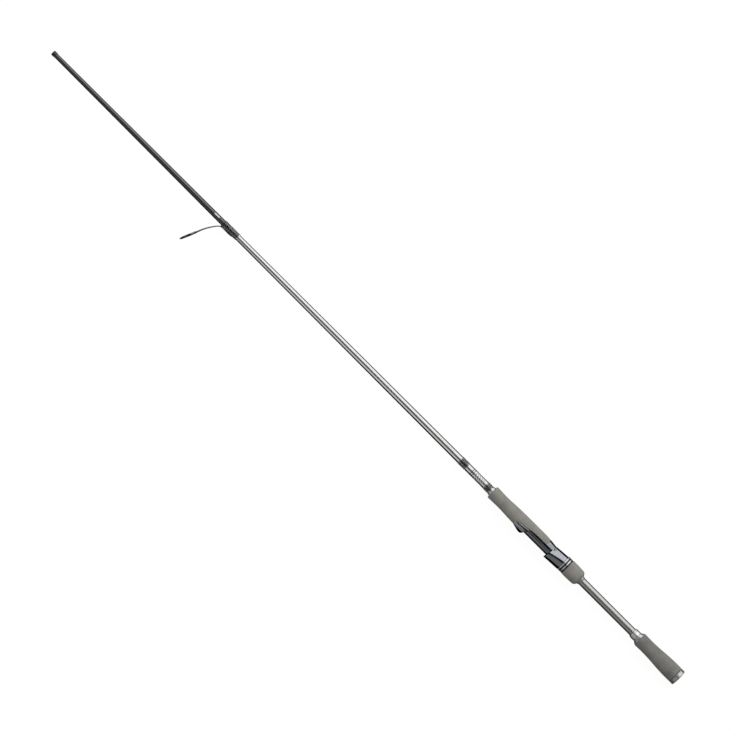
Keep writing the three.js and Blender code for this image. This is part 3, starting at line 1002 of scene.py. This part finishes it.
def make_rear_check():
    bore = BLANK.side + GLUE
    cone = Span("rear_check_cone")
    outline = eased([
        (cone.start, bore),
        (cone.start, cone.side - 0.1),
        (cone.start + 0.5, cone.side),
        (cone.end - 0.9, 6.95),
        (cone.end - 0.5, 6.75),
        (cone.end, 6.6),
        (cone.end, bore),
    ], 0.2, 3)
    complete(revolved("rear_check_cone_turned", outline), ["rear_check_cone"], "rod", "silver")
    collar = Span("rear_check_collar")
    top = 6.75
    ring_groove = 0.2
    outline = [
        (collar.start, bore),
        (collar.start, top - 0.15),
        (collar.start + 0.2, top),
        (collar.end - 3.1, top),
        (collar.end - 3.0, top - ring_groove),
        (collar.end - 2.6, top - ring_groove),
        (collar.end - 2.5, top),
        (collar.end - 1.9, top),
        (collar.end - 1.7, 6.35),
        (collar.end - 1.5, 6.6),
        (collar.end - 0.7, 6.45),
        (collar.end - 0.15, 6.0),
        (collar.end, 5.7),
        (collar.end, bore),
    ]
    collar_piece = revolved("rear_check_collar_turned", eased(outline, 0.35, 3))
    complete(collar_piece, ["rear_check_collar"], "rod", "silver")


def make_tail_check():
    span = Span("tail_check")
    bore = BLANK.side + GLUE
    outline = eased([
        (span.start, bore),
        (span.start, 5.55),
        (span.start + 0.9, 5.75),
        (span.end - 0.9, span.side),
        (span.end, span.side),
        (span.end, bore),
    ], 0.3, 3)
    complete(revolved("tail_check_turned", outline), ["tail_check"], "rod", "silver")


# ---------------------------------------------------------------------------------------------
# Reel seat


def seat_shape(x, y, z):
    """Stretches a turned section to the seat's oval height on the reel side."""
    return x, y * (SECTION_TOP / SECTION_SIDE if y > 0 else 1), z


def deck_shape(x, y, z):
    """The same section with its upper edges rounded down from the flat deck."""
    x, y, z = seat_shape(x, y, z)
    climb = min(1, max(0, (y - SEAT.top + DECK_ROUND) / DECK_ROUND))
    return x, y, z * (1 - DECK_NARROWING * (1 - math.sqrt(1 - climb * climb)))


def seat_section(start, end, shape=seat_shape):
    skin = smooth_line([
        (SHOULDER_MIDDLE - 3, 7.7), (SHOULDER_MIDDLE - 0.8, 8), (FOAM_START, 9.2),
        (240, SECTION_SIDE), (270, SECTION_SIDE), (SEAT.end, 9.4),
    ], 8)
    skin = [(x, radius) for x, radius in skin if start <= x <= end]
    outline = [(skin[0][0], 0), *skin, (skin[-1][0], 0)]
    return revolved("section", outline, shape, sides=168)


def side_cutters(outline, floor):
    """Cut a flat-floored recess of one side outline into each side of the seat."""
    depths = ((FAR, floor), (-floor, -FAR))
    return [prism("cutter", eased(outline, 0.5, 3), far, near) for far, near in depths]


def lip_cutter(side):
    """Tilts the narrow lip below the fixed hood towards the back of the rod, on one side."""
    outline = [(0, -LIP_HEIGHT), (LIP_LENGTH, -LIP_HEIGHT), (LIP_LENGTH, 0), (0, 0)]
    far, near = (LIP_DEPTH, 0) if side > 0 else (0, -LIP_DEPTH)
    cutter = prism("cutter", outline, far, near)
    slope = math.atan2(SEAM_LINE[3][1] - SEAM_LINE[2][1], SEAM_LINE[3][0] - SEAM_LINE[2][0])
    hinge = Matrix.Translation((*LIP_HINGE[:2], side * LIP_HINGE[2])) @ Matrix.Rotation(slope, 4, "Z")
    return moved(cutter, hinge @ Matrix.Rotation(side * LIP_TILT, 4, "X"))


def seam_line():
    """The line on which the seat and the foregrip meet, with its bends rounded."""
    return eased([(FOAM_START, -FAR), *SEAM_LINE, (281.2, FAR)], 3.5, 6, closed=False)


def seat_region(shift=0.0):
    """Everything on the seat's side of that line."""
    outline = [*seam_line(), (SHOULDER_MIDDLE - FAR, FAR), (SHOULDER_MIDDLE - FAR, -FAR)]
    return prism("cutter", [(x + shift, y - shift) for x, y in outline], FAR)


def ahead_of_shoulder(offset=0.0):
    """Everything in front of the slanting joint between the moving hood and the seat."""
    middle = SHOULDER_MIDDLE + offset
    lean = SHOULDER_LEAN * FAR
    outline = [(middle - lean, -FAR), (middle + FAR, -FAR), (middle + FAR, FAR), (middle + lean, FAR)]
    return prism("cutter", outline, FAR)


def make_seat_body():
    body = seat_section(SHOULDER_MIDDLE - 3, SEAT.end, deck_shape)
    carve(body, "INTERSECT", seat_region(), ahead_of_shoulder(SHOULDER_GAP))
    carve(body, "DIFFERENCE", block(SHOULDER_MIDDLE - 8, SEAT.end + 2, SEAT.top, FAR, FAR))
    beside = block(ROOF.start - SEAM, SEAT.end + 2, ROOF_FLOOR - SEAM, FAR, FAR)
    carve(beside, "DIFFERENCE", block(ROOF.start - 2, 277, 0, FAR + 1, 5.1))
    carve(body, "DIFFERENCE", beside)
    groove = [(227, 2.7), (262, 2.3), (262, 3.5), (227, 3.3)]
    slot = [(261, 2.4), (270.3, 3.5), (278, 4.7), (278, 5.4), (261, 5.4)]
    carve(body, "DIFFERENCE", *side_cutters(groove, GROOVE_FLOOR), *side_cutters(slot, SLOT_FLOOR))
    carve(body, "DIFFERENCE", lip_cutter(1), lip_cutter(-1))
    ease_edges(body, sizes().edge / MM, 3)
    pipe = revolved("pipe", eased([
        (SEAT.start, PIPE_BORE), (SEAT.start, PIPE), (SEAT.end, PIPE), (SEAT.end, PIPE_BORE),
    ], 0.25, 2))
    keyway = (KEYWAY_START, SHOULDER_MIDDLE - 0.8, -FAR, -KEY_FOOT + SEAM, KEY_HALF + SEAM)
    carve(pipe, "DIFFERENCE", block(*keyway))
    carve(body, "UNION", bar("cutter", SHOULDER_MIDDLE + 1, SEAT.end - 1, PIPE))
    carve(body, "DIFFERENCE", bar("cutter", SEAT.start - 1, SEAT.end + 1, PIPE_BORE + 0.4))
    body.name = "seat_deck_body"
    complete(body, ["seat_body"], "rod", "gloss_black", sharp=30)
    pipe.name = "seat_tube"
    complete(pipe, [], "rod", "gloss_black")
    pitch = sizes().screw_pitch / MM
    ridge = wound_thread(
        "seat_screw_thread", SCREW_START, SCREW_END, (PIPE, PIPE), SCREW_ROUND,
        finish="gloss_black", pitch=pitch,
    )
    carve(ridge, "DIFFERENCE", block(*keyway))
    complete(ridge, [], "rod", "gloss_black")


def make_fixed_hood():
    outline = eased([
        (ROOF.start, ROOF_FLOOR), (ROOF.start, 8.9), (265.4, 11.1), (267.6, ROOF.top + 0.1),
        (271.5, 11.9), (ROOF.end, 9.4), (ROOF.end, ROOF_FLOOR),
    ], 1.4, 5)
    hood = seat_section(ROOF.start - 8, SEAT.end)
    carve(hood, "INTERSECT", prism("cutter", outline, FAR))
    inside = SECTION_SIDE - ROOF_WALL
    pocket = revolved(
        "cutter",
        [(ROOF.start - 1, 0), (ROOF.start - 1, inside), (ROOF.end + FAR, inside), (ROOF.end + FAR, 0)],
        lambda x, y, z: (x, y * (SECTION_TOP - ROOF_WALL) / inside if y > 0 else y, z),
    )
    side = eased([
        (ROOF.start - 1, 0), (ROOF.start - 1, SECTION_TOP), (271, SECTION_TOP - ROOF_WALL),
        (277.3, 9), (277.3, 0),
    ], 1.0, 3)
    carve(pocket, "INTERSECT", prism("cutter", side, 5.4))
    carve(hood, "DIFFERENCE", pocket, bar("cutter", ROOF.start - 8, SEAT.end + 8, PIPE + SEAM))
    ease_edges(hood, sizes().edge / MM, 3)
    hood.name = "fixed_hood_roof"
    complete(hood, ["fixed_hood"], "rod", "hood_black", sharp=30)


def make_arbors():
    for name in ("rear_arbor", "middle_arbor", "front_arbor"):
        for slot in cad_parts[name].material_slots:
            slot.material = finish_named("arbor_tape")


def make_foregrip():
    bore = BLANK.side + GLUE
    seat_bore = PIPE + GLUE
    bore_end = SEAT.end + SEAM
    skin = smooth_line([
        (FOAM_START + 1.2, 9.3), (241, 9.65), (268, 9.65), (289, 9.25), (306, 8.5),
        (319, 8.8), (FOREGRIP.end - 1.0, 9.0),
    ], 9)
    outline = eased([
        (FOAM_START, seat_bore),
        (FOAM_START, 9.0),
        *skin,
        (FOREGRIP.end, 8.2),
        (FOREGRIP.end, bore),
        (bore_end, bore),
        (bore_end, seat_bore),
    ], 0.5, 3)
    grip = revolved("foregrip_foam", outline, sides=128)
    carve(grip, "DIFFERENCE", seat_region(SEAM * 0.5))
    ease_edges(grip, 0.4, 3, 40)
    complete(grip, ["foregrip"], "rod", "foam")


def make_foregrip_check():
    span = Span("foregrip_check")
    bore = BLANK.side + GLUE
    top = span.side
    outline = eased([
        (span.start, bore),
        (span.start, top - 0.25),
        (span.start + 0.25, top),
        (span.start + 1.0, top),
        (span.start + 1.15, top - 0.45),
        (span.start + 1.5, top - 0.45),
        (span.start + 1.65, top - 0.1),
        (span.end - 0.2, 5.75),
        (span.end, 5.6),
        (span.end, bore),
    ], 0.12, 2)
    complete(revolved("foregrip_check_turned", outline), ["foregrip_check"], "rod", "silver")


# ---------------------------------------------------------------------------------------------
# Moving hood and locking nut


def hood_shape(x, y, z):
    """Makes a turned section as high as the hood on the reel side and as low on its back."""
    along = (x - HOOD_SKIN_START) / (HOOD.end - HOOD_SKIN_START)
    top = 10.8 + (HOOD.top - 10.8) * along
    back = 9.8 + (8.1 - 9.8) * along
    climb = 4.6 * max(0, along) ** 1.3 * (1 - (y / HOOD_SIDE) ** 2)
    return x, y * (top if y > 0 else back) / HOOD_SIDE + climb, z


def make_moving_hood():
    past = HOOD.end + 2
    steps = [HOOD_SKIN_START + (past - HOOD_SKIN_START) * i / 8 for i in range(1, 9)]
    skin = [(HOOD_SKIN_START, 0), (HOOD_SKIN_START, HOOD_SIDE - 0.3)]
    skin += [(HOOD_SKIN_START + 0.3, HOOD_SIDE)]
    skin += [(x, HOOD_SIDE) for x in steps] + [(past, 0)]
    hood = revolved("hood", skin, hood_shape)
    carve(hood, "DIFFERENCE", ahead_of_shoulder())
    lip = ahead_of_shoulder(-2.7)
    carve(lip, "DIFFERENCE", ahead_of_shoulder(-2.2))
    core_side = HOOD_SIDE - 0.22
    core = revolved("cutter", [
        (200, 0), (200, core_side), (past + 1, core_side), (past + 1, 0),
    ], hood_shape)
    carve(lip, "DIFFERENCE", core)
    inside = HOOD_SIDE - HOOD_WALL - 0.2

    def pocket_shape(x, y, z):
        top = hood_shape(x, HOOD_SIDE, 0)[1] - HOOD_WALL
        return x, y * (top if y > 0 else HOOD_BORE) / inside, z

    pocket = revolved("cutter", [
        (209, 0), (209, inside), (216, inside), (past + 1, inside), (past + 1, 0),
    ], pocket_shape)
    neck = revolved("cutter", [
        (HOOD.start, 0), (HOOD.start, 8.0), (HOOD.start + 0.4, 8.3), (HOOD.start + 1.4, 8.3),
        (HOOD.start + 1.4, 7.95), (HOOD_SKIN_START + 1, 7.95), (HOOD_SKIN_START + 1, 0),
    ])
    carve(hood, "UNION", neck)
    carve(hood, "DIFFERENCE", bar("cutter", HOOD.start - 1, past + 1, HOOD_BORE), pocket)
    carve(hood, "UNION", block(205, 220, -HOOD_BORE - 0.3, -KEY_FOOT, KEY_HALF))
    ease_edges(hood, sizes().edge / MM, 3)
    carve(hood, "DIFFERENCE", lip)
    hood.name = "sliding_hood"
    complete(hood, ["moving_hood"], "hood", "hood_black", sharp=30)


def make_nut():
    neck = 8.15
    outline = eased([
        (BARREL.start, 7.4), (BARREL.start, BARREL.side), (BARREL.end, BARREL.side), (BARREL.end, neck),
        (198, neck), (198, 8.5), (196.2, 8.5), (196.2, 7.25), (184, 7.25), (184, 7.4),
    ], 0.2, 2)
    complete(revolved("nut_barrel_moulded", outline), ["nut_barrel"], "nut", "gloss_black")
    grip = Span("nut_grip")
    corner = 4.6
    arc = [
        (grip.start + corner - corner * math.cos(a), 10.45 - corner + corner * math.sin(a))
        for a in (math.radians(20 + 7 * i) for i in range(11))
    ]
    swell = smooth_line([(179, 10.6), (185, 10.9), (190, 10.95), (grip.end - 0.5, 10.85)], 4)
    outline = [
        (grip.start, 7.15), *arc, *swell,
        (grip.end, 10.5), (grip.end, BARREL.side + GLUE), (BARREL.start - SEAM, BARREL.side + GLUE),
        (BARREL.start - SEAM, 7.15),
    ]
    complete(revolved("nut_grip_foam", outline, sides=128), ["nut_grip"], "nut", "foam")
    for colour in ("black", "silver"):
        for place in ("rear", "front"):
            node = f"{colour}_nut_ring_{place}"
            span = Span(node)
            ring = eased([
                (span.start, BARREL.side + GLUE), (span.start, span.side - 0.25),
                (span.start + 0.25, span.side), (span.end - 0.25, span.side),
                (span.end, span.side - 0.25), (span.end, BARREL.side + GLUE),
            ], 0.2, 3)
            piece = revolved(f"{node}_turned", ring)
            slot = "silver" if colour == "silver" else "gloss_black"
            complete(piece, [node], "nut", slot, "silver" if colour == "silver" else "black_trim")


# ---------------------------------------------------------------------------------------------
# Thread wraps


def make_trim(name):
    wrap = Span(f"{name}_wrap")
    coat = Span(f"{name}_varnish")
    thread = sizes().thread / MM
    under = blank_radius(wrap.start)
    path = (under + thread * 0.5,) * 2
    winding = wound_thread(f"{name}_winding", wrap.start, wrap.end, path, thread)
    complete(winding, [f"{name}_wrap"], "rod", "black_thread", sharp=180)
    bore = under + 0.02
    roof = under + thread + 0.04
    lip = wrap.start - coat.start - 0.2
    skin = smooth_line([
        (coat.start, bore + 0.02), (coat.start + lip * 0.5, bore + 0.2),
        (coat.start + lip, coat.side - 0.05), (coat.start + lip * 2, coat.side),
        (coat.end - lip * 2, coat.side), (coat.end - lip, coat.side - 0.05),
        (coat.end - lip * 0.5, bore + 0.2), (coat.end, bore + 0.02),
    ], 4)
    outline = [
        *skin, (coat.end - lip, bore), (coat.end - lip, roof),
        (coat.start + lip, roof), (coat.start + lip, bore),
    ]
    complete(revolved(f"{name}_coat", outline), [f"{name}_varnish"], "rod", "varnish", sharp=50)


# ---------------------------------------------------------------------------------------------
# Guide


def at_guide(piece):
    """Tilts a piece turned about the origin and sets it at the guide's loop."""
    place = Matrix.Translation(EYE.middle) @ Matrix.Rotation(-GUIDE_TILT, 4, "Z")
    return moved(piece, place)


def make_guide_frame():
    outer = FRAME_LOOP.side
    inner = outer - LOOP_WIDTH
    half = LOOP_HALF
    loop = eased([
        (-half, inner), (-half, outer - 0.2), (-half + 0.3, outer), (half - 0.3, outer),
        (half, outer - 0.2), (half, inner),
    ], 0.25, 3)
    frame_piece = at_guide(revolved("guide_frame_steel", loop, sides=128))
    foot_start = FRAME_LOOP.start
    under = blank_radius(foot_start) + GLUE
    foot = prism("cutter", eased([
        (foot_start, under), (FOOT_END, under - 0.05), (FOOT_END, under + 0.9),
        (foot_start + 6, under + 0.85), (foot_start, under + 0.15),
    ], 0.1, 2), 1.3)
    route = [
        (793.5, 4.6, 0.5), (797.5, 6.4, 0.95), (800.6, 9.7, 1.9), (803.7, 14, 3.2), (806.8, 18.9, 4.7),
        (809.4, 24, 6.4), (811.6, 29.4, 8.4), (813.9, 35, 10), (815.6, 39, 11.3),
    ]
    legs = []
    for side in (1, -1):
        points = smooth_line([(x, y, side * z) for x, y, z in route], 6)
        legs.append(swept_bar("leg", points, LEG_RADIUS))
    carve(frame_piece, "UNION", foot, *legs)
    room = at_guide(bar("cutter", -4, 4, inner, 128))
    carve(frame_piece, "DIFFERENCE", room)
    complete(frame_piece, ["guide_frame"], "rod", "guide_metal", sharp=45)


def make_guide_ring():
    outer, inner, half = EYE_OUTER, EYE_INNER, EYE_HALF
    points = [
        (half * math.copysign(abs(math.cos(a)) ** 0.7, math.cos(a)),
         (outer + inner) / 2 + (outer - inner) / 2 * math.copysign(abs(math.sin(a)) ** 0.7, math.sin(a)))
        for a in (math.pi - 2 * math.pi * i / 24 for i in range(24))
    ]
    ring = at_guide(revolved("guide_ring_ceramic", points, sides=160))
    complete(ring, ["guide_ring"], "rod", "guide_ceramic")


def make_guide_wrap():
    wrap = GUIDE_WRAP
    coat = Span("guide_varnish")
    thread = sizes().thread / MM
    rise = wrap.top / wrap.back
    radius = wrap.back - thread * 0.5
    path = (radius - 0.1, radius)
    winding = wound_thread("guide_winding", wrap.start + 0.4, wrap.end, path, thread, rise)
    complete(winding, ["guide_wrap"], "rod", "black_thread", sharp=180)
    mouth = blank_radius(wrap.start) + 0.1
    inside = wrap.back + 0.06
    skin = smooth_line([
        (coat.start, mouth + 0.02), (coat.start + 0.7, mouth + 0.25),
        (wrap.start + 1.2, coat.back - 0.02),
        (wrap.start + 4, coat.back), (coat.end - 1.0, coat.back), (coat.end, inside + 0.04),
    ], 5)
    outline = [*skin, (coat.end, inside), (wrap.start - SEAM, inside), (wrap.start - SEAM, mouth)]

    def over_foot(x, y, z):
        along = min(1, max(0, (x - wrap.start - 0.4) / FOOT_RAMP))
        eased_in = along * along * (3 - 2 * along)
        return x, y * (1 + (rise - 1) * eased_in if y > 0 else 1), z

    shell = revolved("guide_coat", outline, over_foot)
    complete(shell, ["guide_varnish"], "rod", "varnish", sharp=50)


# ---------------------------------------------------------------------------------------------
# Stage


def softbox(name, lean, spread, along, power):
    """A long light beside the rod, between two stations along it in metres. Its lean from overhead
    and half its spread are in degrees, and its power is in watts for each square metre."""
    distance = 1.7
    light = bpy.data.lights.new(name, "AREA")
    light.shape = "RECTANGLE"
    light.size = along[1] - along[0]
    light.size_y = 2 * distance * math.tan(math.radians(spread))
    light.energy = power * light.size * light.size_y
    made = bpy.data.objects.new(name, light)
    angle = math.radians(lean)
    made.location = (sum(along) / 2, -distance * math.sin(angle), distance * math.cos(angle))
    made.rotation_euler = (angle, 0, 0)
    made.visible_camera = False
    bpy.context.scene.collection.objects.link(made)


def make_stage():
    scene = bpy.context.scene
    scene.view_settings.view_transform = "Standard"
    middle = (CAD_BOX[0].x + CAD_BOX[1].x) / 2
    floor_mesh = bpy.data.meshes.new("pale_floor")
    reach = 30
    floor_mesh.from_pydata(
        [(-reach, -reach, 0), (reach, -reach, 0), (reach, reach, 0), (-reach, reach, 0)], [], [(0, 1, 2, 3)]
    )
    floor_mesh.transform(Matrix.Translation((middle, 0, CAD_BOX[0].z - 0.0002)))
    floor = new_object("pale_floor", floor_mesh)
    paint = Paint("floor_paint")
    shade = paint.mixed(paint.noise(0.002, 2.0), (0.115, 0.115, 0.115), (0.125, 0.125, 0.125))
    floor.data.materials.append(paint.finish(
        Base_Color=shade, Roughness=1.0, Specular_IOR_Level=0.0,
        Emission_Color=(1, 1, 1, 1), Emission_Strength=0.95,
    ))
    floor.visible_glossy = False
    floor.visible_diffuse = False
    world = bpy.data.worlds.new("pale_room")
    scene.world = world
    world.use_nodes = True
    world.node_tree.nodes.clear()
    room = Graph(world.node_tree)
    seen = room.node("ShaderNodeLightPath", output="Is Camera Ray")
    strength = seen * (1 - ROOM_LIGHT) + ROOM_LIGHT
    glow = room.node("ShaderNodeBackground", inputs={"Color": (1, 1, 1, 1), "Strength": strength})
    room.node("ShaderNodeOutputWorld", inputs={"Surface": glow})
    world.cycles_visibility.glossy = False
    softbox("key_softbox", 58, 39, (-0.6, 2.4), 4.7)
    softbox("long_strip", -46, 36, (-0.5, 2.2), 1.0)
    softbox("blank_strip", -55, 15, (0.272, 0.83), 2.4)
    camera = bpy.data.cameras.new("side_camera")
    camera.lens = 200
    camera.sensor_width = 36
    camera.clip_end = 100
    view = bpy.data.objects.new("side_camera", camera)
    view.location = (0.5433, 0.0004, SEEN_WIDTH * camera.lens / camera.sensor_width)
    view.rotation_euler = (0, 0, math.radians(225))
    scene.collection.objects.link(view)
    scene.camera = view


# ---------------------------------------------------------------------------------------------
# Operators


class ROD_OT_stage(bpy.types.Operator):
    """Make the floor, the lights and the camera"""

    bl_idname = "rod.stage"
    bl_label = "Stage"

    def execute(self, context):
        make_stage()
        return {"FINISHED"}


class ROD_OT_blank(bpy.types.Operator):
    """Make the tapered blank and its socket ring"""

    bl_idname = "rod.blank"
    bl_label = "Blank"

    def execute(self, context):
        make_blank()
        make_ferrule_ring()
        return {"FINISHED"}


class ROD_OT_rear_handle(bpy.types.Operator):
    bl_idname = "rod.rear_handle"
    bl_label = "Rear handle"

    def execute(self, context):
        make_butt_cap()
        make_rear_grip()
        make_rear_check()
        make_tail_check()
        return {"FINISHED"}


class ROD_OT_seat(bpy.types.Operator):
    """Make the reel seat and its fixed hood, and give the arbors inside it their tape finish"""

    bl_idname = "rod.seat"
    bl_label = "Reel seat"

    def execute(self, context):
        make_seat_body()
        make_fixed_hood()
        make_arbors()
        return {"FINISHED"}


class ROD_OT_foregrip(bpy.types.Operator):
    """Make the foregrip and the check in front of it"""

    bl_idname = "rod.foregrip"
    bl_label = "Foregrip"

    def execute(self, context):
        make_foregrip()
        make_foregrip_check()
        return {"FINISHED"}


class ROD_OT_locking(bpy.types.Operator):
    """Make the sliding hood and the locking nut"""

    bl_idname = "rod.locking"
    bl_label = "Hood and nut"

    def execute(self, context):
        make_moving_hood()
        make_nut()
        return {"FINISHED"}


class ROD_OT_trims(bpy.types.Operator):
    """Wind and varnish the two trim wraps in front of the handle"""

    bl_idname = "rod.trims"
    bl_label = "Trim wraps"

    def execute(self, context):
        for name in ("rear_trim", "front_trim"):
            make_trim(name)
        return {"FINISHED"}


class ROD_OT_guide(bpy.types.Operator):
    """Make the line guide, its ceramic ring and its wrap"""

    bl_idname = "rod.guide"
    bl_label = "Line guide"

    def execute(self, context):
        make_guide_frame()
        make_guide_ring()
        make_guide_wrap()
        return {"FINISHED"}


OPERATORS = (
    ROD_OT_stage, ROD_OT_blank, ROD_OT_rear_handle, ROD_OT_seat, ROD_OT_foregrip,
    ROD_OT_locking, ROD_OT_trims, ROD_OT_guide,
)


class ROD_PT_panel(bpy.types.Panel):
    """Lists the rod's operators and settings"""

    bl_idname = "ROD_PT_panel"
    bl_label = "Spinning Rod"
    bl_space_type = "VIEW_3D"
    bl_region_type = "UI"
    bl_category = "Rod"

    def draw(self, context):
        for group in (context.scene.rod_sizes, context.scene.rod_colours):
            for name in group.__annotations__:
                self.layout.prop(group, name)
        for operator in OPERATORS:
            self.layout.operator(operator.bl_idname)


CLASSES = (RodSizes, RodColours, *OPERATORS, ROD_PT_panel)


def register():
    for cls in CLASSES:
        bpy.utils.register_class(cls)
    bpy.types.Scene.rod_sizes = bpy.props.PointerProperty(type=RodSizes)
    bpy.types.Scene.rod_colours = bpy.props.PointerProperty(type=RodColours)


def unregister():
    del bpy.types.Scene.rod_colours
    del bpy.types.Scene.rod_sizes
    for cls in reversed(CLASSES):
        bpy.utils.unregister_class(cls)


def main():
    register()
    for operator in OPERATORS:
        group, name = operator.bl_idname.split(".")
        getattr(getattr(bpy.ops, group), name)()


if __name__ == "__main__":
    main()
